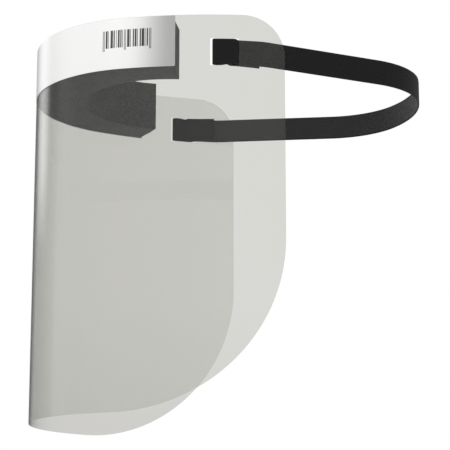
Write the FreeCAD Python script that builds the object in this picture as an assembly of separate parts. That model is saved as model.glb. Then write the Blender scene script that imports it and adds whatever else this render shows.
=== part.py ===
import FreeCAD, Part
import math
import os

# Disposable face shield: a clear film bent round the face, a foam brow pad taped inside it,
# a white strip stuck on the outside, and one elastic strap woven through two slots on each side.
# Millimetres. +X is the wearer's left, +Y points back through the head and +Z is up.
# The origin is the middle of the foam's inner face, where the forehead rests.

# Film
film_thickness = 0.5
sheet_height = 229.0
sheet_half_length = 181.5        # half the flat sheet, measured round its outer face
top_corner_radius = 24.5
bottom_corner_radius = 99.0
front_radius = 75.0              # bend in front of the face
front_turn = math.radians(67.5)  # how far the front bend goes to each side
side_radius = 222.0              # much flatter bend along the cheeks

# Foam, its tape and the label that covers them from outside
foam_height = 31.0
foam_half_length = 118.0
foam_inner_radius = 54.0
foam_inner_turn = math.radians(86.0)
brow_depth = 30.0                # from the film's front to the forehead
tape_thickness = 0.3
tape_margin = 1.0
label_thickness = 0.2
label_margin = 0.2

# Strap and its slots
strap_width = 15.2
strap_thickness = 1.1
strap_drop = 6.9                 # the strap's middle below the foam's middle
slot_width = 2.8
slot_height = 15.9
front_slot = 139.6               # slot middles, measured round the film
rear_slot = 153.4
tail_end = 167.5
step_start = 146.5               # the tail climbs over the main run between these
step_end = 150.0
film_gap = 0.12                  # between the film and the woven strap
moving_gap = 0.45                # between the fixed and the swinging strap
root_offset = 1.8                # the swinging strap's middle, in from the rear slot's outer face
bend_run = 16.0                  # from the rear slot to the strap's inward bend
root_tail = 4.0                  # the root run goes on this far past the bend
strap_taper = math.radians(16.6)
strap_corner_radius = 52.3         # the bow's two sides
strap_back_radius = 85.0           # the bow's flatter back
strap_back_turn = math.radians(70) # where the one gives way to the other
root_chamfer = 3.0               # lets the root's corners swing clear of the tail

top_z = foam_height / 2
bottom_z = top_z - sheet_height
strap_z = -strap_drop
front_arc = front_radius * front_turn
front_centre_y = front_radius - brow_depth
side_centre_x = (front_radius - side_radius) * math.sin(front_turn)
side_centre_y = front_centre_y - (front_radius - side_radius) * math.cos(front_turn)


def film_point(along, depth):
    # Plan point at a distance round the film from its middle, and a depth in from its outer face
    distance = abs(along)
    if distance <= front_arc:
        turn = distance / front_radius
        reach = front_radius - depth
        x = reach * math.sin(turn)
        y = front_centre_y - reach * math.cos(turn)
    else:
        turn = front_turn + (distance - front_arc) / side_radius
        reach = side_radius - depth
        x = side_centre_x + reach * math.sin(turn)
        y = side_centre_y - reach * math.cos(turn)
    return FreeCAD.Vector(math.copysign(x, along), y, 0)


def film_arcs(half_length, depth):
    # The film's three bends at one depth: right cheek, front, left cheek
    middle = (half_length + front_arc) / 2
    stops = [-half_length, -middle, -front_arc, 0, front_arc, middle, half_length]
    points = [film_point(stop, depth) for stop in stops]
    return [Part.Arc(*points[i:i + 3]).toShape() for i in (0, 2, 4)]


def upright(edges, low_z, high_z):
    # Solid standing on a closed plan outline
    wire = Part.Wire(Part.__sortEdges__(edges))
    face = Part.Face(wire)
    face.translate(FreeCAD.Vector(0, 0, low_z))
    return face.extrude(FreeCAD.Vector(0, 0, high_z - low_z))


def film_layer(half_length, outer_depth, inner_depth, low_z, high_z):
    # A layer wrapped round with the film, such as the film itself, the tape or the label
    edges = film_arcs(half_length, outer_depth) + film_arcs(half_length, inner_depth)
    for end in (-half_length, half_length):
        edges.append(Part.makeLine(film_point(end, outer_depth), film_point(end, inner_depth)))
    return upright(edges, low_z, high_z)


def corner_waste(radius, edge_z, up):
    # What the round corner takes off both sides of the sheet, above (up = 1) or below (up = -1).
    # The round corner of the flat sheet is slightly narrow when the bent sheet is seen side on.
    end_y = film_point(sheet_half_length, 0).y
    start_y = film_point(sheet_half_length - radius, 0).y
    beyond = 5.0
    centre = FreeCAD.Vector(0, start_y, edge_z - up * radius)
    edge_point = FreeCAD.Vector(0, start_y, edge_z)
    end_point = FreeCAD.Vector(0, end_y, centre.z)
    ellipse = Part.Ellipse(edge_point, end_point, centre)
    outline = [
        end_point,
        FreeCAD.Vector(0, end_y + beyond, centre.z),
        FreeCAD.Vector(0, end_y + beyond, edge_z + up * beyond),
        FreeCAD.Vector(0, start_y, edge_z + up * beyond),
        edge_point,
    ]
    edges = [Part.ArcOfEllipse(ellipse, 0, math.pi / 2).toShape()]
    edges += [Part.makeLine(a, b) for a, b in zip(outline, outline[1:])]
    face = Part.Face(Part.Wire(Part.__sortEdges__(edges)))
    face.translate(FreeCAD.Vector(-side_radius, 0, 0))
    return face.extrude(FreeCAD.Vector(2 * side_radius, 0, 0))


def slot_cutter(along):
    # One upright slot through both sides
    front_y = film_point(along - slot_width / 2, 0).y
    rear_y = film_point(along + slot_width / 2, 0).y
    corner = FreeCAD.Vector(-side_radius, front_y, strap_z - slot_height / 2)
    return Part.makeBox(2 * side_radius, rear_y - front_y, slot_height, corner)


def make_visor():
    sheet = film_layer(sheet_half_length, 0, film_thickness, bottom_z, top_z)
    sheet = sheet.cut(corner_waste(top_corner_radius, top_z, 1))
    sheet = sheet.cut(corner_waste(bottom_corner_radius, bottom_z, -1))
    for along in (front_slot, rear_slot):
        sheet = sheet.cut(slot_cutter(along))
    return sheet


def make_foam():
    outer_depth = film_thickness + tape_thickness
    edges = film_arcs(foam_half_length, outer_depth)
    end_x = foam_inner_radius * math.sin(foam_inner_turn)
    end_y = foam_inner_radius * (1 - math.cos(foam_inner_turn))
    left_end = FreeCAD.Vector(end_x, end_y, 0)
    right_end = FreeCAD.Vector(-end_x, end_y, 0)
    edges.append(Part.Arc(right_end, FreeCAD.Vector(0, 0, 0), left_end).toShape())
    edges.append(Part.makeLine(film_point(foam_half_length, outer_depth), left_end))
    edges.append(Part.makeLine(film_point(-foam_half_length, outer_depth), right_end))
    return upright(edges, -foam_height / 2, foam_height / 2)


def make_tape():
    reach = foam_height / 2 - tape_margin
    half_length = foam_half_length - tape_margin
    return film_layer(half_length, film_thickness, film_thickness + tape_thickness, -reach, reach)


def make_label():
    reach = foam_height / 2 - label_margin
    return film_layer(foam_half_length, -label_thickness, 0, -reach, reach)


def ribbon(path):
    # Webbing standing on edge, with its middle line along the path and mitred corners
    edges = []
    for hand in (-1, 1):
        offset_line = []
        for i, point in enumerate(path):
            before = path[max(i - 1, 0)]
            after = path[min(i + 1, len(path) - 1)]
            way_in = (point - before) if i else (after - point)
            way_out = (after - point) if i < len(path) - 1 else way_in
            normal_in = FreeCAD.Vector(-way_in.y, way_in.x, 0).normalize()
            normal_out = FreeCAD.Vector(-way_out.y, way_out.x, 0).normalize()
            mitre = normal_in + normal_out
            mitre = mitre / (1 + normal_in.dot(normal_out))
            offset_line.append(point + mitre * (hand * strap_thickness / 2))
        edges.append(offset_line)
    outline = edges[0] + edges[1][::-1] + edges[0][:1]
    lines = [Part.makeLine(a, b) for a, b in zip(outline, outline[1:])]
    return upright(lines, strap_z - strap_width / 2, strap_z + strap_width / 2)


# The left half of the strap's line. The root run lies in one flat upright plane,
# so that it can swing up and down beside the tail.
slot_point = film_point(rear_slot, 0)
root_x = slot_point.x - root_offset
root_front_y = slot_point.y - slot_width / 2
bend_point = FreeCAD.Vector(root_x, slot_point.y + bend_run, 0)
radius_change = strap_back_radius - strap_corner_radius
corner_centre_x = radius_change * math.cos(strap_back_turn)
back_start_x = corner_centre_x + strap_corner_radius * math.cos(strap_taper)
back_start_y = bend_point.y + (root_x - back_start_x) / math.tan(strap_taper)
corner_centre_y = back_start_y - strap_corner_radius * math.sin(strap_taper)
back_centre_y = corner_centre_y - radius_change * math.sin(strap_back_turn)
back_start = FreeCAD.Vector(back_start_x, back_start_y, 0)
split_y = bend_point.y + root_tail
split_point = FreeCAD.Vector(root_x - root_tail * math.tan(strap_taper), split_y, 0)


def make_root():
    # From the rear slot to just past the bend, with its front corners taken off
    band = ribbon([FreeCAD.Vector(root_x, root_front_y, 0), bend_point, split_point])
    half_width = strap_width / 2
    far_y = split_y + strap_width
    outline = [
        (root_front_y, -half_width + root_chamfer),
        (root_front_y + root_chamfer, -half_width),
        (far_y, -half_width),
        (far_y, half_width),
        (root_front_y + root_chamfer, half_width),
        (root_front_y, half_width - root_chamfer),
    ]
    points = [FreeCAD.Vector(0, y, strap_z + z) for y, z in outline]
    side_view = Part.Face(Part.makePolygon(points + points[:1]))
    return band.common(side_view.extrude(FreeCAD.Vector(2 * root_x, 0, 0)))


def make_weave():
    # Out through the rear slot, forward outside the film, in through the front slot,
    # and back inside it as the tail, which steps over the root run
    outside = -film_gap - strap_thickness / 2
    inside = film_thickness + film_gap + strap_thickness / 2
    fold = front_slot + slot_width / 2 - film_gap - strap_thickness / 2
    tail_x = root_x - strap_thickness - moving_gap
    inner_end = root_offset - strap_thickness / 2 - moving_gap
    outer_run = [rear_slot + (fold - rear_slot) * i / 5 for i in range(6)]
    path = [film_point(rear_slot, inner_end)]
    path += [film_point(along, outside) for along in outer_run]
    path += [film_point(fold, inside), film_point(step_start, inside)]
    path.append(FreeCAD.Vector(tail_x, film_point(step_end, 0).y, 0))
    path.append(FreeCAD.Vector(tail_x, film_point(tail_end, 0).y, 0))
    return ribbon(path)


def bow_point(turn, offset):
    # A point of the bow's left half, from the taper's turn to 90 degrees at the back
    radius, centre_x, centre_y = strap_back_radius, 0, back_centre_y
    if turn < strap_back_turn:
        radius, centre_x, centre_y = strap_corner_radius, corner_centre_x, corner_centre_y
    reach = radius + offset
    return FreeCAD.Vector(centre_x + reach * math.cos(turn), centre_y + reach * math.sin(turn), 0)


def make_back():
    # The bow round the back of the head: a corner on each side and a flatter back between them
    edges = []
    ends = []
    for offset in (-strap_thickness / 2, strap_thickness / 2):
        start, half_way, change = [
            bow_point(turn, offset)
            for turn in (strap_taper, (strap_taper + strap_back_turn) / 2, strap_back_turn)
        ]
        mirrored = [FreeCAD.Vector(-point.x, point.y, 0) for point in (start, half_way, change)]
        rear = FreeCAD.Vector(0, back_centre_y + strap_back_radius + offset, 0)
        edges.append(Part.Arc(start, half_way, change).toShape())
        edges.append(Part.Arc(change, rear, mirrored[2]).toShape())
        edges.append(Part.Arc(mirrored[2], mirrored[1], mirrored[0]).toShape())
        ends.append((start, mirrored[0]))
    edges += [Part.makeLine(inner, outer) for inner, outer in zip(*ends)]
    return upright(edges, strap_z - strap_width / 2, strap_z + strap_width / 2)


def right_hand(shape):
    return shape.mirror(FreeCAD.Vector(0, 0, 0), FreeCAD.Vector(1, 0, 0))


nodes = {
    "visor": make_visor(),
    "brow_foam": make_foam(),
    "foam_tape": make_tape(),
    "header_label": make_label(),
    "strap_back": make_back(),
}
left_pieces = {
    "strap_weave": make_weave(),
    "strap_root": make_root(),
    "strap_side": ribbon([split_point, back_start]),
}
for name, shape in left_pieces.items():
    nodes[name + "_left"] = shape
    nodes[name + "_right"] = right_hand(shape)

os.makedirs("parts", exist_ok=True)
for name, shape in nodes.items():
    shape.exportStep("parts/" + name + ".step")
    box = shape.BoundBox
    print(name, "solids", len(shape.Solids), "valid", shape.isValid(), "volume", round(shape.Volume, 1))
    print("  x", round(box.XMin, 2), round(box.XMax, 2), "y", round(box.YMin, 2), round(box.YMax, 2),
          "z", round(box.ZMin, 2), round(box.ZMax, 2))
print("swing axis y", round(slot_point.y, 3), "z", round(strap_z, 3))
print("back of the strap, inner face y", round(back_centre_y + strap_back_radius - strap_thickness / 2, 3))
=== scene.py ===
from math import atan2, ceil, cos, exp, pi, radians, sin, tan

import bmesh
import bpy
from mathutils import Matrix, Vector, noise


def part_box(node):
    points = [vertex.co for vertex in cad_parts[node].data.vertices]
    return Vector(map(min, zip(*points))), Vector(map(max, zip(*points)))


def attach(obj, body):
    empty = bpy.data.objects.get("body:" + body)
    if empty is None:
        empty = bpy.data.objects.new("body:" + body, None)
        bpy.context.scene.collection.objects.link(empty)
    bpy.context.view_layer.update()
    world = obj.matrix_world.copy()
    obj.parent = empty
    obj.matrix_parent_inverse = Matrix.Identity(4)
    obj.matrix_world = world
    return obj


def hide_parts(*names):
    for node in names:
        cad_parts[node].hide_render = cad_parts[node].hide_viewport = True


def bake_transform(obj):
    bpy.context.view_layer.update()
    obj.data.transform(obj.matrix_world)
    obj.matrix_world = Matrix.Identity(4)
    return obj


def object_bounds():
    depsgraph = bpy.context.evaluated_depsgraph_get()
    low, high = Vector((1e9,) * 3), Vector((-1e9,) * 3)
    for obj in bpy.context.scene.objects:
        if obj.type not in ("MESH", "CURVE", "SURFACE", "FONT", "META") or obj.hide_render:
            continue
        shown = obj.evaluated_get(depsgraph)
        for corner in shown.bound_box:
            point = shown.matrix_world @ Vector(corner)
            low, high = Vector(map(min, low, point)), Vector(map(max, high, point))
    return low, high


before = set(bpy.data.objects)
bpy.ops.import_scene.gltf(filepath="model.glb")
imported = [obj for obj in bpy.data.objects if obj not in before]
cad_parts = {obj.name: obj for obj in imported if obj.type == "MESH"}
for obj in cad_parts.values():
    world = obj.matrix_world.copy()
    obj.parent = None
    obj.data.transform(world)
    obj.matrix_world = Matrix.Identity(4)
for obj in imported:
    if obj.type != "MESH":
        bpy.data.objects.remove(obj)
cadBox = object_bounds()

# Disposable face shield: a clear film bent round the face, a foam brow pad taped inside it, a white
# strip stuck outside it, and one elastic strap woven through two slots on each side.
# Metres, +X is the wearer's left, +Y points back through the head, +Z is up.

mm = 0.001
boxLow, boxHigh = cadBox
boxMiddle = (boxLow + boxHigh) / 2


def linear(hexColour):
    # sRGB hex to the linear colour that a shader takes
    channels = [int(hexColour[i:i + 2], 16) / 255 for i in (1, 3, 5)]
    return [c / 12.92 if c <= 0.04045 else ((c + 0.055) / 1.055) ** 2.4 for c in channels] + [1]


def newMaterial(name):
    material = bpy.data.materials.new(name)
    material.use_nodes = True
    material.node_tree.nodes.clear()
    return material


def addNode(tree, kind, settings=None, links=None):
    # Settings are the node's own properties, or values of its sockets by name or number
    made = tree.nodes.new(kind)
    for key, value in (settings or {}).items():
        if isinstance(key, str) and key not in made.inputs:
            setattr(made, key, value)
        else:
            made.inputs[key].default_value = value
    for key, socket in (links or {}).items():
        tree.links.new(socket, made.inputs[key])
    return made


def output(tree, shader):
    addNode(tree, "ShaderNodeOutputMaterial", links={"Surface": shader.outputs[0]})


def clearFilm():
    # Extruded PETG sheet: glassy on both faces, each taking a little light with a faint warm grey tint
    look = {
        "faceTint": ("#F6F6F4", "#F6F6F5"),   # from one draw band to the next
        "headOnMirror": 0.045,    # Fresnel share of one face at IOR 1.55
        "roughness": 0.035,
        "drawBand": 34 * mm,      # spacing of the faint upright bands from the sheet line
        "drawLength": 400 * mm,
        "ripple": 0.02,
    }
    material = newMaterial("extrudedPetgSheet")
    tree = material.node_tree
    place = addNode(tree, "ShaderNodeTexCoord")
    stretch = addNode(tree, "ShaderNodeMapping",
                      {"Scale": (1 / look["drawBand"], 1 / look["drawBand"], 1 / look["drawLength"])},
                      {"Vector": place.outputs["Object"]})
    bands = addNode(tree, "ShaderNodeTexNoise", {"Scale": 1.0, "Detail": 2.0, "Roughness": 0.4},
                    {"Vector": stretch.outputs[0]})
    ripple = addNode(tree, "ShaderNodeBump", {"Strength": look["ripple"], "Distance": 1 * mm},
                     {"Height": bands.outputs["Fac"]})
    facing = addNode(tree, "ShaderNodeLayerWeight", {"Blend": 0.5})
    grazing = addNode(tree, "ShaderNodeMath", {"operation": "POWER", 1: 5.0},
                      {0: facing.outputs["Facing"]})
    mirror = addNode(tree, "ShaderNodeMapRange",
                     {"To Min": look["headOnMirror"], "To Max": 1.0}, {"Value": grazing.outputs[0]})
    spread = addNode(tree, "ShaderNodeMapRange", {"From Min": 0.35, "From Max": 0.65},
                     {"Value": bands.outputs["Fac"]})
    tint = addNode(tree, "ShaderNodeMix",
                   {"data_type": "RGBA", 6: linear(look["faceTint"][0]), 7: linear(look["faceTint"][1])},
                   {0: spread.outputs[0]})
    through = addNode(tree, "ShaderNodeBsdfTransparent", links={"Color": tint.outputs[2]})
    gloss = addNode(tree, "ShaderNodeBsdfAnisotropic",
                    {"Color": (1, 1, 1, 1), "Roughness": look["roughness"]}, {"Normal": ripple.outputs[0]})
    mixed = addNode(tree, "ShaderNodeMixShader",
                    links={0: mirror.outputs[0], 1: through.outputs[0], 2: gloss.outputs[0]})
    output(tree, mixed)
    return material


def cutEdge():
    # Die-cut edge of the sheet: slightly frosted, so it shows as a fine grey line
    look = {"colour": "#B2B4B0", "scratch": 0.8 * mm, "roughness": (0.35, 0.6)}
    material = newMaterial("dieCutPetgEdge")
    tree = material.node_tree
    place = addNode(tree, "ShaderNodeTexCoord")
    grain = addNode(tree, "ShaderNodeTexNoise", {"Scale": 1 / look["scratch"], "Detail": 3.0},
                    {"Vector": place.outputs["Object"]})
    rough = addNode(tree, "ShaderNodeMapRange",
                    {"To Min": look["roughness"][0], "To Max": look["roughness"][1]},
                    {"Value": grain.outputs["Fac"]})
    skin = addNode(tree, "ShaderNodeBsdfPrincipled",
                   {"Base Color": linear(look["colour"]), "IOR": 1.57, "Alpha": 0.35},
                   {"Roughness": rough.outputs[0]})
    output(tree, skin)
    return material


def glossLabel():
    # White self-adhesive vinyl, gloss laminated: a bright body colour under a smooth clear skin
    look = {
        "bright": "#F3F3F3",
        "dull": "#EDEDEC",
        "mottle": 45 * mm,
        "peel": 3 * mm,           # the laminate's slight orange peel
        "peelDepth": 0.02,
    }
    material = newMaterial("glossWhiteVinylLabel")
    tree = material.node_tree
    place = addNode(tree, "ShaderNodeTexCoord")
    mottle = addNode(tree, "ShaderNodeTexNoise", {"Scale": 1 / look["mottle"], "Detail": 2.0},
                     {"Vector": place.outputs["Object"]})
    body = addNode(tree, "ShaderNodeMix",
                   {"data_type": "RGBA", 6: linear(look["dull"]), 7: linear(look["bright"])},
                   {0: mottle.outputs["Fac"]})
    peel = addNode(tree, "ShaderNodeTexNoise", {"Scale": 1 / look["peel"], "Detail": 1.0},
                   {"Vector": place.outputs["Object"]})
    skin = addNode(tree, "ShaderNodeBump", {"Strength": look["peelDepth"], "Distance": 0.2 * mm},
                   {"Height": peel.outputs["Fac"]})
    shader = addNode(tree, "ShaderNodeBsdfPrincipled",
                     {"Roughness": 0.28, "IOR": 1.5, "Coat Weight": 0.35, "Coat Roughness": 0.06},
                     {"Base Color": body.outputs[2], "Normal": skin.outputs[0]})
    output(tree, shader)
    return material


def printedInk():
    # Black transfer print: dense, a little uneven where the ribbon laid it down
    look = {"dark": "#141313", "thin": "#2B2928", "speckle": 0.6 * mm}
    material = newMaterial("blackTransferPrint")
    tree = material.node_tree
    place = addNode(tree, "ShaderNodeTexCoord")
    speckle = addNode(tree, "ShaderNodeTexNoise", {"Scale": 1 / look["speckle"], "Detail": 3.0},
                      {"Vector": place.outputs["Object"]})
    body = addNode(tree, "ShaderNodeMix",
                   {"data_type": "RGBA", 6: linear(look["dark"]), 7: linear(look["thin"])},
                   {0: speckle.outputs["Fac"]})
    shader = addNode(tree, "ShaderNodeBsdfPrincipled", {"Roughness": 0.4, "IOR": 1.5},
                     {"Base Color": body.outputs[2]})
    output(tree, shader)
    return material


def browFoamMaterial():
    # Open-cell polyurethane foam, slab cut: dull, with painted shade in the pores, the cell hollows drawn
    # darker
    look = {
        "wall": "#666666",
        # painted shade: the darker colour drawn into the cell hollows
        "poreShade": "#3F3F3F",
        "cell": 1.1 * mm,         # real cells are about 0.5 mm, drawn larger so that they show
        "mottle": 14 * mm,
        "relief": 0.35,
        "reliefDepth": 0.35 * mm,
    }
    material = newMaterial("charcoalPolyurethaneFoam")
    tree = material.node_tree
    place = addNode(tree, "ShaderNodeTexCoord")
    cells = addNode(tree, "ShaderNodeTexVoronoi", {"Scale": 1 / look["cell"], "Randomness": 1.0},
                    {"Vector": place.outputs["Object"]})
    fine = addNode(tree, "ShaderNodeTexNoise", {"Scale": 2 / look["cell"], "Detail": 3.0},
                   {"Vector": place.outputs["Object"]})
    mottle = addNode(tree, "ShaderNodeTexNoise", {"Scale": 1 / look["mottle"], "Detail": 3.0},
                     {"Vector": place.outputs["Object"]})
    uneven = addNode(tree, "ShaderNodeMath", {"operation": "MULTIPLY_ADD", 1: 0.6, 2: -0.1},
                     {0: mottle.outputs["Fac"]})
    # the cell hollows take the painted pore shade; the mottle is random tone
    share = addNode(tree, "ShaderNodeMath", {"operation": "MULTIPLY_ADD", 1: 0.9, "use_clamp": True},
                    {0: cells.outputs["Distance"], 2: uneven.outputs[0]})
    body = addNode(tree, "ShaderNodeMix",
                   {"data_type": "RGBA", 6: linear(look["poreShade"]), 7: linear(look["wall"])},
                   {0: share.outputs[0]})
    height = addNode(tree, "ShaderNodeMath", {"operation": "MULTIPLY_ADD", 1: 0.5},
                     {0: fine.outputs["Fac"], 2: cells.outputs["Distance"]})
    relief = addNode(tree, "ShaderNodeBump", {"Strength": look["relief"], "Distance": look["reliefDepth"]},
                     {"Height": height.outputs[0]})
    shader = addNode(tree, "ShaderNodeBsdfPrincipled",
                     {"Roughness": 0.95, "IOR": 1.45, "Specular IOR Level": 0.2, "Sheen Weight": 0.08,
                      "Sheen Roughness": 0.6},
                     {"Base Color": body.outputs[2], "Normal": relief.outputs[0]})
    output(tree, shader)
    return material


def tapeMaterial():
    # Acrylic transfer tape: milky adhesive, seen only as a pale line between foam and film
    look = {"pale": "#DCDAD0", "milky": "#C9C6BA", "bubble": 2.5 * mm}
    material = newMaterial("acrylicTransferTape")
    tree = material.node_tree
    place = addNode(tree, "ShaderNodeTexCoord")
    bubble = addNode(tree, "ShaderNodeTexNoise", {"Scale": 1 / look["bubble"], "Detail": 2.0},
                     {"Vector": place.outputs["Object"]})
    body = addNode(tree, "ShaderNodeMix",
                   {"data_type": "RGBA", 6: linear(look["milky"]), 7: linear(look["pale"])},
                   {0: bubble.outputs["Fac"]})
    shader = addNode(tree, "ShaderNodeBsdfPrincipled", {"Roughness": 0.5, "IOR": 1.47},
                     {"Base Color": body.outputs[2]})
    output(tree, shader)
    return material


def elasticMaterial():
    # Black braided elastic: polyester over rubber cores, with lengthwise ribs and slanted stitches
    look = {
        "thread": "#262626",
        "gap": "#0C0C0C",
        "headSideGrey": "#3A3A3A",       # the side that lies against the head, drawn a lighter grey than the outer side
        "halfWay": 15.4 * mm,     # distance round the band that splits its two sides
        "stitch": 1.3 * mm,       # one stitch along the band
        "wale": 0.9 * mm,         # one row of stitches across it
        "groove": 0.16 * mm,
        "fuzz": 0.35 * mm,
        "relief": 0.5,
        "reliefDepth": 0.12 * mm,
    }
    material = newMaterial("blackBraidedElastic")
    tree = material.node_tree
    weave = addNode(tree, "ShaderNodeUVMap", {"uv_map": "route"})
    knit = addNode(tree, "ShaderNodeTexBrick",
                   {"offset": 0.5, "Color1": (1, 1, 1, 1), "Color2": (0.72, 0.72, 0.72, 1),
                    "Mortar": (0, 0, 0, 1), "Scale": 1.0, "Mortar Size": look["groove"],
                    "Mortar Smooth": 1.0, "Brick Width": look["stitch"], "Row Height": look["wale"]},
                   {"Vector": weave.outputs[0]})
    fuzz = addNode(tree, "ShaderNodeTexNoise", {"Scale": 1 / look["fuzz"], "Detail": 2.0},
                   {"Vector": weave.outputs[0]})
    strand = addNode(tree, "ShaderNodeMath", {"operation": "MULTIPLY_ADD", 1: 0.35},
                     {0: fuzz.outputs["Fac"], 2: knit.outputs["Color"]})
    body = addNode(tree, "ShaderNodeMix",
                   {"data_type": "RGBA", 6: linear(look["gap"]), 7: linear(look["thread"])},
                   {0: strand.outputs[0]})
    across = addNode(tree, "ShaderNodeSeparateXYZ", links={0: weave.outputs[0]})
    skinSide = addNode(tree, "ShaderNodeMath", {"operation": "LESS_THAN", 1: look["halfWay"]},
                       {0: across.outputs["Y"]})
    # the side against the head is drawn a lighter grey than the outer side
    headSideTone = addNode(tree, "ShaderNodeMix", {"data_type": "RGBA", 7: linear(look["headSideGrey"])},
                  {0: skinSide.outputs[0], 6: body.outputs[2]})
    relief = addNode(tree, "ShaderNodeBump", {"Strength": look["relief"], "Distance": look["reliefDepth"]},
                     {"Height": strand.outputs[0]})
    shader = addNode(tree, "ShaderNodeBsdfPrincipled",
                     {"Roughness": 0.72, "IOR": 1.5, "Specular IOR Level": 0.3, "Sheen Weight": 0.12,
                      "Sheen Roughness": 0.45},
                     {"Base Color": headSideTone.outputs[2], "Normal": relief.outputs[0]})
    output(tree, shader)
    return material


def floorMaterial():
    # Pale matt studio floor, painted board
    look = {"pale": "#F6F6F4", "worn": "#F0F0EE", "patch": 400 * mm}
    material = newMaterial("paleMattBoard")
    tree = material.node_tree
    place = addNode(tree, "ShaderNodeTexCoord")
    patch = addNode(tree, "ShaderNodeTexNoise", {"Scale": 1 / look["patch"], "Detail": 2.0},
                    {"Vector": place.outputs["Object"]})
    body = addNode(tree, "ShaderNodeMix",
                   {"data_type": "RGBA", 6: linear(look["worn"]), 7: linear(look["pale"])},
                   {0: patch.outputs["Fac"]})
    shader = addNode(tree, "ShaderNodeBsdfPrincipled", {"Roughness": 0.8},
                     {"Base Color": body.outputs[2]})
    output(tree, shader)
    return material


def newPiece(name, bm, *materials):
    mesh = bpy.data.meshes.new(name)
    bm.to_mesh(mesh)
    bm.free()
    piece = bpy.data.objects.new(name, mesh)
    bpy.context.scene.collection.objects.link(piece)
    for material in materials:
        mesh.materials.append(material)
    return piece


def settle(piece, sharpAngle=40):
    # Applies the modifiers, then shades smooth between the corners
    shown = piece.evaluated_get(bpy.context.evaluated_depsgraph_get())
    mesh = bpy.data.meshes.new_from_object(shown)
    piece.modifiers.clear()
    piece.data = mesh
    mesh.polygons.foreach_set("use_smooth", [True] * len(mesh.polygons))
    mesh.set_sharp_from_angle(angle=radians(sharpAngle))
    return piece


def everything(bm):
    return bm.verts[:] + bm.edges[:] + bm.faces[:]


def slices(bm, axis, stops, geom=None):
    # Cuts straight across an axis at each stop, so that the piece can bend there
    normal = Vector([axis == i for i in range(3)])
    for stop in stops:
        bmesh.ops.bisect_plane(bm, geom=geom or everything(bm), plane_co=normal * stop,
                               plane_no=normal, dist=1e-7)


def evenly(low, high, step):
    count = max(1, round((high - low) / step))
    return [low + (high - low) * i / count for i in range(1, count)]


# The bent sheet: a tighter bend in front of the face and flatter cheeks
film = {
    "halfLength": 181.5 * mm,
    "frontRadius": 75 * mm,
    "frontTurn": radians(67.5),
    "sideRadius": 222 * mm,
    "thickness": 0.5 * mm,
    "topCorner": 24.5 * mm,
    "bottomCorner": 99 * mm,
    "slots": (139.6 * mm, 153.4 * mm),
    "slotWidth": 2.8 * mm,
    "slotHeight": 16.6 * mm,
    "strip": 1.5 * mm,            # flat strips that the bends are made of
    "leastStrip": 0.3 * mm,
}
filmLow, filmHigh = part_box("visor")
strapLow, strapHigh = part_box("strap_back")
strapZ = (strapLow.z + strapHigh.z) / 2
frontArc = film["frontRadius"] * film["frontTurn"]
frontCentreY = filmLow.y + film["frontRadius"]


def sheetPoint(along, depth, z):
    # A point at a distance round the sheet from its middle, and a depth in from its outer face
    distance = abs(along)
    centre = Vector((0, frontCentreY))
    turn, radius = distance / film["frontRadius"], film["frontRadius"]
    if distance > frontArc:
        turn = film["frontTurn"] + (distance - frontArc) / film["sideRadius"]
        radius = film["sideRadius"]
        spread = film["frontRadius"] - film["sideRadius"]
        centre += Vector((sin(film["frontTurn"]), -cos(film["frontTurn"]))) * spread
    x = centre.x + (radius - depth) * sin(turn)
    y = centre.y - (radius - depth) * cos(turn)
    return Vector((x if along > 0 else -x, y, z))


def flatSheet(halfLength, low, high):
    # X round the sheet, Y up it and Z out of its outer face, ready to bend
    bm = bmesh.new()
    bmesh.ops.create_grid(bm, x_segments=1, y_segments=1, size=1)
    bmesh.ops.scale(bm, vec=(halfLength, (high - low) / 2, 1), verts=bm.verts)
    bmesh.ops.translate(bm, vec=(0, (high + low) / 2, 0), verts=bm.verts)
    return bm


def bend(bm):
    for v in bm.verts:
        v.co = sheetPoint(v.co.x, -v.co.z, v.co.y)


def thicken(piece, thickness, rimSlot=0):
    shell = piece.modifiers.new("thickness", "SOLIDIFY")
    shell.thickness = thickness
    shell.offset = -1
    shell.use_even_offset = True
    shell.material_offset_rim = rimSlot
    return settle(piece)


def roundCorner(bm, verts, radius, segments):
    bmesh.ops.bevel(bm, geom=verts, offset=radius, offset_type="OFFSET", segments=segments,
                    profile=0.5, affect="VERTICES", clamp_overlap=False, material=-1)


def makeVisor(faceMaterial, edgeMaterial):
    bm = flatSheet(film["halfLength"], filmLow.z, filmHigh.z)
    roundCorner(bm, [v for v in bm.verts if v.co.y > 0], film["topCorner"], 20)
    low = [v for v in bm.verts if v.co.y < strapZ - film["bottomCorner"]]
    roundCorner(bm, low, film["bottomCorner"], 48)
    halfSlot = film["slotWidth"] / 2
    sides = [side * (slot + edge) for side in (-1, 1) for slot in film["slots"]
             for edge in (-halfSlot, halfSlot)]
    strips = evenly(-film["halfLength"], film["halfLength"], film["strip"])
    clear = [s for s in strips if min(abs(s - edge) for edge in sides) > film["leastStrip"]]
    slices(bm, 0, sorted(clear + sides))
    for side in (-1, 1):
        for slot in film["slots"]:
            column = [f for f in bm.faces if abs(f.calc_center_median().x - side * slot) < halfSlot]
            edges = {e for f in column for e in f.edges}
            verts = {v for f in column for v in f.verts}
            for end in (-1, 1):
                z = strapZ + end * film["slotHeight"] / 2
                cut = bmesh.ops.bisect_plane(bm, geom=list(verts) + list(edges) + column,
                                             plane_co=(0, z, 0), plane_no=(0, 1, 0), dist=1e-7)
                column = [g for g in cut["geom"] if isinstance(g, bmesh.types.BMFace)]
                edges = {e for f in column for e in f.edges}
                verts = {v for f in column for v in f.verts}
    openings = [f for f in bm.faces
                if min(abs(abs(f.calc_center_median().x) - s) for s in film["slots"]) < halfSlot
                and abs(f.calc_center_median().y - strapZ) < film["slotHeight"] / 2]
    bmesh.ops.delete(bm, geom=openings, context="FACES")
    bend(bm)
    visor = newPiece("visorFilm", bm, faceMaterial, edgeMaterial)
    thicken(visor, film["thickness"], rimSlot=1)
    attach(visor, "shield")
    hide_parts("visor")
    return visor


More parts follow.
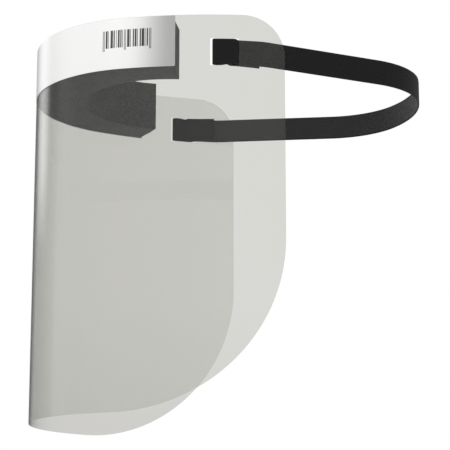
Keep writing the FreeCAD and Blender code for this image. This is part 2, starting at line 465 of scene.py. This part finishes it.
def makeLabel(material):
    low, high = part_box("header_label")
    label = {"halfLength": 118 * mm, "thickness": 0.2 * mm, "corner": 0.8 * mm}
    bm = flatSheet(label["halfLength"], low.z, high.z)
    bmesh.ops.translate(bm, vec=(0, 0, label["thickness"]), verts=bm.verts)
    roundCorner(bm, bm.verts[:], label["corner"], 4)
    slices(bm, 0, evenly(-label["halfLength"], label["halfLength"], film["strip"]))
    bend(bm)
    strip = newPiece("headerLabel", bm, material)
    thicken(strip, label["thickness"])
    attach(strip, "shield")
    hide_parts("header_label")
    return strip


def makeBars(material):
    # A made-up block of bars that encodes nothing
    bars = {
        "start": 74.7 * mm,
        "end": 104.0 * mm,
        "top": 8.3 * mm,
        "bottom": -2.4 * mm,
        "guardBottom": -4.1 * mm,
        "widths": (1, 1, 3, 1, 4, 2, 1, 3, 2, 1, 1, 1, 4, 1, 2, 3, 1, 2, 4, 1, 2, 1, 1),
        "gaps": (1, 2, 1, 3, 1, 2, 2, 1, 1, 2, 1, 2, 1, 3, 1, 1, 3, 1, 1, 2, 2, 1),
        "lift": 0.22 * mm,        # just proud of the label
        "ink": 0.02 * mm,
    }
    widths, gaps = bars["widths"], bars["gaps"]
    module = (bars["end"] - bars["start"]) / (sum(widths) + sum(gaps))
    guards = (0, 1, 10, 11, len(widths) - 2, len(widths) - 1)
    bm = bmesh.new()
    along = bars["start"]
    for i, width in enumerate(widths):
        low = bars["guardBottom"] if i in guards else bars["bottom"]
        made = bmesh.ops.create_grid(bm, x_segments=2, y_segments=1, size=1)
        size = Vector((width * module / 2, (bars["top"] - low) / 2, 1))
        bmesh.ops.scale(bm, vec=size, verts=made["verts"])
        middle = Vector((along + size.x, (bars["top"] + low) / 2, bars["lift"]))
        bmesh.ops.translate(bm, vec=middle, verts=made["verts"])
        along += (width + (gaps[i] if i < len(gaps) else 0)) * module
    bend(bm)
    block = newPiece("labelBars", bm, material)
    thicken(block, bars["ink"])
    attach(block, "shield")
    return block


def makeFoam(material):
    # One cut block: straight in the flat, then bent, which crowns it towards the forehead
    low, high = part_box("brow_foam")
    foam = {
        "halfLength": 118 * mm,
        "depth": 25 * mm,         # block thickness before it is bent
        "outerDepth": 0.8 * mm,   # film and tape
        "outerEnd": 116.2 * mm,   # the ends lean a little once the block is bent
        "innerRadius": 54 * mm,
        "innerTurn": radians(86.2),
        "edge": 0.25 * mm,
        "crown": 0.35 * mm,
        "waver": 0.08 * mm,       # unevenness of the cut, and how far apart it is
        "waverReach": 9 * mm,
        "steps": (1.6 * mm, 1.8 * mm, 2.2 * mm),
    }
    halfHeight = (high.z - low.z) / 2 - foam["crown"] / 2
    bm = bmesh.new()
    bmesh.ops.create_cube(bm, size=1)
    bmesh.ops.scale(bm, vec=(2 * foam["halfLength"], foam["depth"], 2 * halfHeight), verts=bm.verts)
    bmesh.ops.translate(bm, vec=(0, foam["depth"] / 2, 0), verts=bm.verts)
    bmesh.ops.bevel(bm, geom=bm.edges[:], offset=foam["edge"], offset_type="OFFSET", segments=3,
                    profile=0.5, affect="EDGES", clamp_overlap=True, material=-1)
    slices(bm, 0, evenly(-foam["halfLength"], foam["halfLength"], foam["steps"][0]))
    slices(bm, 1, evenly(0, foam["depth"], foam["steps"][1]))
    slices(bm, 2, evenly(-halfHeight, halfHeight, foam["steps"][2]))
    for v in bm.verts:
        share = v.co.y / foam["depth"]
        turn = foam["innerTurn"] * v.co.x / foam["halfLength"]
        inner = Vector((foam["innerRadius"] * sin(turn), foam["innerRadius"] * (1 - cos(turn)), 0))
        outer = sheetPoint(v.co.x * foam["outerEnd"] / foam["halfLength"], foam["outerDepth"], 0)
        swell = 1 + foam["crown"] / halfHeight * sin(pi * max(0, min(1, share)) ** 1.4)
        place = outer.lerp(inner, share)
        place.z = v.co.z * swell
        if share > 0.05:
            place += noise.noise_vector(place / foam["waverReach"]) * foam["waver"]
        v.co = place
    bmesh.ops.recalc_face_normals(bm, faces=bm.faces)
    pad = newPiece("browFoam", bm, material)
    settle(pad, sharpAngle=60)
    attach(pad, "shield")
    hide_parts("brow_foam")
    return pad


# One length of elastic, from the left tail round the head to the right tail
strap = {
    "width": strapHigh.z - strapLow.z,
    "thickness": 1.1 * mm,
    "ribs": 11,
    "ribDepth": 0.07 * mm,
    "acrossFace": 44,             # points across one face, and round one edge
    "roundEdge": 5,
    "gap": 0.12 * mm,             # from the film
    "slack": 0.45 * mm,           # of the fold in its slot
    "tailEnd": 167.5 * mm,
    "stepStart": 146.5 * mm,
    "stepEnd": 150.0 * mm,
    "diveStart": 152.65 * mm,     # where it turns in through the rear slot
    "diveEnd": 154.75 * mm,
    "seam": 151.2 * mm,
    "rootOffset": 1.8 * mm,
    "tailGap": 0.45 * mm,
    "bendRun": 16 * mm,
    "rootTail": 4 * mm,
    "taper": radians(16.6),
    "cornerRadius": 52.3 * mm,
    "backRadius": 85 * mm,
    "backTurn": radians(70),      # where the corner gives way to the flatter back
    "bulge": 0.7 * mm,            # how far the fold stands off the film inside
    "pinch": 148 * mm,            # where the two runs are drawn together
    "pucker": 0.07,               # share of the half width drawn in there
    "puckerReach": 2.6 * mm,
    "tailLift": 0.7 * mm,
    "tailSkew": 0.5 * mm,         # how far the loose end sits above or below the run under it
    "tailFree": 14 * mm,
    "spacing": 1.2 * mm,
}


def rounded(corners):
    # Plan points along straight runs joined by round bends; corners are (point, bend radius)
    points = [corners[0][0]]
    for (before, _), (here, radius), (after, _) in zip(corners, corners[1:], corners[2:]):
        wayIn = (here - before).normalized()
        wayOut = (after - here).normalized()
        turn = atan2(wayIn.cross(wayOut), wayIn.dot(wayOut))
        start = here - wayIn * (radius * tan(abs(turn) / 2))
        side = Vector((-wayIn.y, wayIn.x)) * (radius if turn > 0 else -radius)
        steps = max(1, ceil(abs(turn) / radians(12)))
        for i in range(steps + 1):
            points.append(start + side - Matrix.Rotation(turn * i / steps, 2) @ side)
    points.append(corners[-1][0])
    return points


def filled(points):
    # More points on the long straight runs
    dense = [points[0]]
    for a, b in zip(points, points[1:]):
        count = max(1, round((b - a).length / strap["spacing"]))
        dense += [a.lerp(b, i / count) for i in range(1, count + 1)]
    return dense


def strapRoute():
    # The left half's stretches, each sharing its end points with the next
    half = strap["thickness"] / 2
    outside = -strap["gap"] - half
    inside = film["thickness"] + strap["gap"] + half
    frontSlot, rearSlot = film["slots"]
    fold = frontSlot + film["slotWidth"] / 2 - strap["slack"] - half
    slotPoint = sheetPoint(rearSlot, 0, 0).xy
    rootX = slotPoint.x - strap["rootOffset"]
    tailX = rootX - strap["thickness"] - strap["tailGap"]
    bendPoint = Vector((rootX, slotPoint.y + strap["bendRun"]))
    corner, change = strap["cornerRadius"], strap["backTurn"]
    cornerX = (strap["backRadius"] - corner) * cos(change)
    backX = cornerX + corner * cos(strap["taper"])
    backY = bendPoint.y + (rootX - backX) / tan(strap["taper"])
    cornerY = backY - corner * sin(strap["taper"])
    backCentreY = cornerY - (strap["backRadius"] - corner) * sin(change)
    way = Vector((-sin(strap["taper"]), cos(strap["taper"])))
    split = bendPoint + way * (strap["rootTail"] / cos(strap["taper"]))
    seam = sheetPoint(strap["seam"], outside, 0).xy
    tight = 0.82 * mm             # the fold round the film between the slots
    weave = rounded([
        (Vector((tailX - strap["tailLift"], sheetPoint(strap["tailEnd"], 0, 0).y)), 0),
        (Vector((tailX, sheetPoint(strap["stepEnd"] + 7 * mm, 0, 0).y)), 20 * mm),
        (Vector((tailX, sheetPoint(strap["stepEnd"], 0, 0).y)), 1.5 * mm),
        (sheetPoint(strap["pinch"], inside, 0).xy, 1.2 * mm),
        (sheetPoint(strap["stepStart"] - 1.5 * mm, inside + strap["bulge"], 0).xy, 2 * mm),
        (sheetPoint(fold + 1.5 * mm, inside + strap["bulge"], 0).xy, 1 * mm),
        (sheetPoint(fold, inside, 0).xy, tight),
        (sheetPoint(fold, outside, 0).xy, tight),
        (sheetPoint((fold + strap["seam"]) / 2, outside, 0).xy, 20 * mm),
        (seam, 0),
    ])
    root = rounded([
        (seam, 0),
        (sheetPoint(strap["diveStart"], outside, 0).xy, 1.2 * mm),
        (Vector((rootX, sheetPoint(strap["diveEnd"], 0, 0).y)), 1.4 * mm),
        (bendPoint, 22 * mm),
        (split, 0),
    ])
    side = [split, Vector((backX, backY))]
    back = []
    for start, end, turns, radius, centre in (
            (strap["taper"], change, 32, corner, Vector((cornerX, cornerY))),
            (change, pi / 2, 20, strap["backRadius"], Vector((0, backCentreY)))):
        for i in range(turns + 1):
            angle = start + (end - start) * i / turns
            if i or not back:
                back.append(Vector((cos(angle), sin(angle))) * radius + centre)
    return {"weave": filled(weave), "root": filled(root), "side": filled(side), "back": back}, bendPoint


def strapSection():
    # Points round the band's section: (height from the middle, side offset, distance round)
    halfWidth = strap["width"] / 2
    half = strap["thickness"] / 2
    flat = halfWidth - half
    count = strap["acrossFace"]
    ring = []
    for face in (1, -1):
        for i in range(count):
            height = face * flat * (2 * i / count - 1)
            rib = 0.5 - 0.5 * cos(2 * pi * strap["ribs"] * (height / flat + 1) / 2)
            ring.append((height, face * (half - strap["ribDepth"] * (1 - rib))))
        for i in range(strap["roundEdge"]):
            angle = pi * i / strap["roundEdge"]
            ring.append((face * (flat + half * sin(angle)), face * half * cos(angle)))
    ring.append(ring[0])
    lengths = [0.0]
    for (ha, sa), (hb, sb) in zip(ring, ring[1:]):
        lengths.append(lengths[-1] + Vector((hb - ha, sb - sa)).length)
    return [(h, s, length) for (h, s), length in zip(ring, lengths)]


def makeBand(name, route, sides, lengths, first, last, material):
    # A tube of the band's section between two points of the route
    section = strapSection()
    rows, columns = last - first, len(section) - 1
    pinchPoint = sheetPoint(strap["pinch"], 0, 0).xy
    bm = bmesh.new()
    bmesh.ops.create_grid(bm, x_segments=rows, y_segments=columns, size=0.5)
    uv = bm.loops.layers.uv.new("route")
    stations = {v: (first + round((v.co.x + 0.5) * rows), round((v.co.y + 0.5) * columns))
                for v in bm.verts}
    for face in bm.faces:
        for loop in face.loops:
            i, j = stations[loop.vert]
            loop[uv].uv = (lengths[i], section[j][2])
    for v, (i, j) in stations.items():
        height, offset, _ = section[j]
        place = route[i] + sides[i] * offset
        drawn = pinchPoint - Vector((abs(place.x), place.y))
        closing = strap["pucker"] * exp(-(drawn.length / strap["puckerReach"]) ** 2)
        # The left side puckers along its lower edge, the right along its upper
        if height * place.x < 0:
            height *= 1 - closing
        fromEnd = min(lengths[i], lengths[-1] - lengths[i])
        skew = strap["tailSkew"] * max(0, 1 - fromEnd / strap["tailFree"])
        v.co = (place.x, place.y, strapZ + height + (-skew if place.x > 0 else skew))
    bmesh.ops.remove_doubles(bm, verts=bm.verts, dist=1e-7)
    bmesh.ops.holes_fill(bm, edges=[e for e in bm.edges if e.is_boundary], sides=0)
    bmesh.ops.recalc_face_normals(bm, faces=bm.faces)
    band = newPiece(name, bm, material)
    settle(band, sharpAngle=50)
    return band


def makeStrap(material):
    stretches, bendPoint = strapRoute()
    route, cuts = [], [0]
    for name in ("weave", "root", "side", "back"):
        route += stretches[name] if not route else stretches[name][1:]
        cuts.append(len(route) - 1)
    middle = len(route) - 1
    route += [Vector((-p.x, p.y)) for p in reversed(route[:-1])]
    count = len(route)
    lengths, sides = [0.0], []
    for i, point in enumerate(route):
        before, after = route[max(i - 1, 0)], route[min(i + 1, count - 1)]
        wayIn = (point - before).normalized() if i else (after - point).normalized()
        wayOut = (after - point).normalized() if i < count - 1 else wayIn
        way = (wayIn + wayOut).normalized()
        lean = 1 / max(0.5, way.dot(wayOut))
        sides.append(Vector((-way.y, way.x)) * lean)
        if i:
            lengths.append(lengths[-1] + (point - before).length)
    for hand, flip in (("left", False), ("right", True)):
        for k, part in enumerate(("weave", "root", "side")):
            first, last = cuts[k], cuts[k + 1]
            if flip:
                first, last = 2 * middle - last, 2 * middle - first
            band = makeBand("strap" + part.capitalize() + hand.capitalize(), route, sides, lengths,
                            first, last, material)
            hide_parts("strap_" + part + "_" + hand)
            if part == "weave":
                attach(band, "shield")
            elif part == "root":
                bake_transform(band)
            else:
                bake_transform(band)
    bow = makeBand("strapBack", route, sides, lengths, cuts[3], 2 * middle - cuts[3], material)
    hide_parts("strap_back")
    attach(bow, "strap_bow")


def makeCamera():
    shot = {"azimuth": radians(80.36), "lookUp": radians(12.58), "distance": 1.036, "lens": 135.0,
            "aim": boxMiddle + Vector((0, -0.0024, 0.009))}
    back = Vector((sin(shot["azimuth"]) * cos(shot["lookUp"]),
                   -cos(shot["azimuth"]) * cos(shot["lookUp"]), -sin(shot["lookUp"])))
    lens = bpy.data.cameras.new("camera")
    lens.lens = shot["lens"]
    lens.sensor_width = 36
    camera = bpy.data.objects.new("camera", lens)
    bpy.context.scene.collection.objects.link(camera)
    camera.location = shot["aim"] + back * shot["distance"]
    camera.rotation_mode = "QUATERNION"
    camera.rotation_quaternion = (-back).to_track_quat("-Z", "Y")
    bpy.context.scene.camera = camera


def aimed(name, lamp, place, aim):
    light = bpy.data.objects.new(name, lamp)
    bpy.context.scene.collection.objects.link(light)
    light.location = place
    light.rotation_mode = "QUATERNION"
    light.rotation_quaternion = (Vector(aim) - Vector(place)).to_track_quat("-Z", "Y")
    light.visible_camera = False
    return light


def makeFloor():
    floorBox = {"drop": 0.24, "halfSide": 6.0}
    bm = bmesh.new()
    bmesh.ops.create_grid(bm, x_segments=4, y_segments=4, size=floorBox["halfSide"])
    bmesh.ops.translate(bm, vec=(0, 0, boxLow.z - floorBox["drop"]), verts=bm.verts)
    newPiece("floor", bm, floorMaterial())


def setStops(ramp, stops):
    # Gives a colour ramp these stops, as (position, linear colour) in rising order
    made = ramp.color_ramp.elements
    while len(made) > 1:
        made.remove(made[-1])
    for k, (place, colour) in enumerate(stops):
        stop = made[0] if k == 0 else made.new(place)
        stop.position = place
        stop.color = (*colour, 1)


def makeSurround():
    # Studio walls, by direction: degrees round from the front towards the wearer's left, the level
    # near the horizon, and the level above it, where one soft box stands at the front right
    studio = {
        "walls": [(-180, 0.08, 0.08), (-125, 0.10, 0.10), (-80, 0.14, 0.14), (-70, 0.36, 0.36),
                  (-62, 0.46, 1.00), (-53, 0.34, 1.50), (-46, 0.24, 1.20), (-40, 0.17, 0.35),
                  (-36, 0.14, 0.16), (-28, 0.13, 0.14), (-22, 0.42, 0.34), (-12, 0.42, 0.44),
                  (2, 0.30, 0.30), (24, 0.33, 0.33), (60, 0.40, 0.40), (100, 0.44, 0.44),
                  (120, 0.22, 0.22), (150, 0.15, 0.15), (180, 0.08, 0.08)],
        "boxBottom": (0.19, 0.265),   # rise of the soft box's lower edge
        "ceiling": 0.8,
        "ceilingEdge": (0.5, 0.9),
        "backdrop": [(0.105, (0.780, 0.774, 0.770)), (0.117, (0.797, 0.796, 0.786)),
                     (0.175, (0.842, 0.844, 0.830))],   # by rise: a little darker towards its foot
    }
    world = bpy.data.worlds.new("studio")
    bpy.context.scene.world = world
    world.use_nodes = True
    tree = world.node_tree
    tree.nodes.clear()
    way = addNode(tree, "ShaderNodeTexCoord")
    part = addNode(tree, "ShaderNodeSeparateXYZ", links={0: way.outputs["Generated"]})
    front = addNode(tree, "ShaderNodeMath", {"operation": "MULTIPLY", 1: -1.0}, {0: part.outputs["Y"]})
    turn = addNode(tree, "ShaderNodeMath", {"operation": "ARCTAN2"},
                   {0: part.outputs["X"], 1: front.outputs[0]})
    share = addNode(tree, "ShaderNodeMapRange", {"From Min": -pi, "From Max": pi},
                    {"Value": turn.outputs[0]})
    rings = []
    for row in (1, 2):
        ring = addNode(tree, "ShaderNodeValToRGB", links={"Fac": share.outputs[0]})
        setStops(ring, [(wall[0] / 360 + 0.5, [wall[row] / 2] * 3) for wall in studio["walls"]])
        rings.append(ring)
    above = addNode(tree, "ShaderNodeMapRange",
                    {"interpolation_type": "SMOOTHSTEP", "From Min": studio["boxBottom"][0],
                     "From Max": studio["boxBottom"][1]}, {"Value": part.outputs["Z"]})
    wall = addNode(tree, "ShaderNodeMix", {"data_type": "RGBA"},
                   {0: above.outputs[0], 6: rings[0].outputs["Color"], 7: rings[1].outputs["Color"]})
    wallLevel = addNode(tree, "ShaderNodeMath", {"operation": "MULTIPLY", 1: 2.0},
                        {0: wall.outputs[2]})
    top = addNode(tree, "ShaderNodeMapRange",
                  {"interpolation_type": "SMOOTHSTEP", "From Min": studio["ceilingEdge"][0],
                   "From Max": studio["ceilingEdge"][1]}, {"Value": part.outputs["Z"]})
    level = addNode(tree, "ShaderNodeMix", {"data_type": "FLOAT", 3: studio["ceiling"]},
                    {0: top.outputs[0], 2: wallLevel.outputs[0]})
    # The open background is dropped out to white; what shows through the film is the backdrop itself
    path = addNode(tree, "ShaderNodeLightPath")
    seen = addNode(tree, "ShaderNodeMath", {"operation": "GREATER_THAN", 1: 0.5},
                   {0: path.outputs["Transparent Depth"]})
    sweep = addNode(tree, "ShaderNodeValToRGB", links={"Fac": part.outputs["Z"]})
    setStops(sweep, studio["backdrop"])
    drop = addNode(tree, "ShaderNodeMix", {"data_type": "RGBA", 6: (1, 1, 1, 1)},
                   {0: seen.outputs[0], 7: sweep.outputs["Color"]})
    backdrop = addNode(tree, "ShaderNodeBackground", links={"Color": drop.outputs[2]})
    lit = addNode(tree, "ShaderNodeBackground", {"Color": (1, 1, 1, 1)}, {"Strength": level.outputs[0]})
    both = addNode(tree, "ShaderNodeMixShader",
                   links={0: path.outputs["Is Camera Ray"], 1: lit.outputs[0], 2: backdrop.outputs[0]})
    addNode(tree, "ShaderNodeOutputWorld", links={"Surface": both.outputs[0]})


def makeLights(labelPieces):
    # A soft box overhead, and a spot that lights only the label pieces and picks out the front of the
    # label
    lamps = {
        "overheadSize": 0.35,
        "overheadPower": 2.0,
        "overheadPlace": (-0.02, 0.10, 0.75),
        "overheadAim": (0, 0.10, 0),
        "spotCone": radians(20.2),
        "spotBlend": 0.05,
        "spotRadius": 0.01,
        "spotPower": 46,
        "spotPlace": (0.753, -0.753, 0.746),
        "spotAim": (-0.106, -0.106, 0),
    }
    overhead = bpy.data.lights.new("overhead", "AREA")
    overhead.size = lamps["overheadSize"]
    overhead.energy = lamps["overheadPower"]
    aimed("overhead", overhead, lamps["overheadPlace"], lamps["overheadAim"])
    spot = bpy.data.lights.new("labelSpot", "SPOT")
    spot.spot_size = lamps["spotCone"]
    spot.spot_blend = lamps["spotBlend"]
    spot.shadow_soft_size = lamps["spotRadius"]
    spot.energy = lamps["spotPower"]
    light = aimed("labelSpot", spot, lamps["spotPlace"], lamps["spotAim"])
    lit = bpy.data.collections.new("labelPieces")
    for piece in labelPieces:
        lit.objects.link(piece)
    light.light_linking.receiver_collection = lit


makeCamera()
makeFloor()
makeSurround()
bpy.context.scene.view_settings.view_transform = "Standard"
bpy.context.scene.cycles.transparent_max_bounces = 24
print("camera and studio made")

makeVisor(clearFilm(), cutEdge())
print("visor film made")

makeLights([makeLabel(glossLabel()), makeBars(printedInk())])
print("header label made")

makeFoam(browFoamMaterial())
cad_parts["foam_tape"].data.materials.clear()
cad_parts["foam_tape"].data.materials.append(tapeMaterial())
print("brow foam and tape made")

makeStrap(elasticMaterial())
print("strap made")
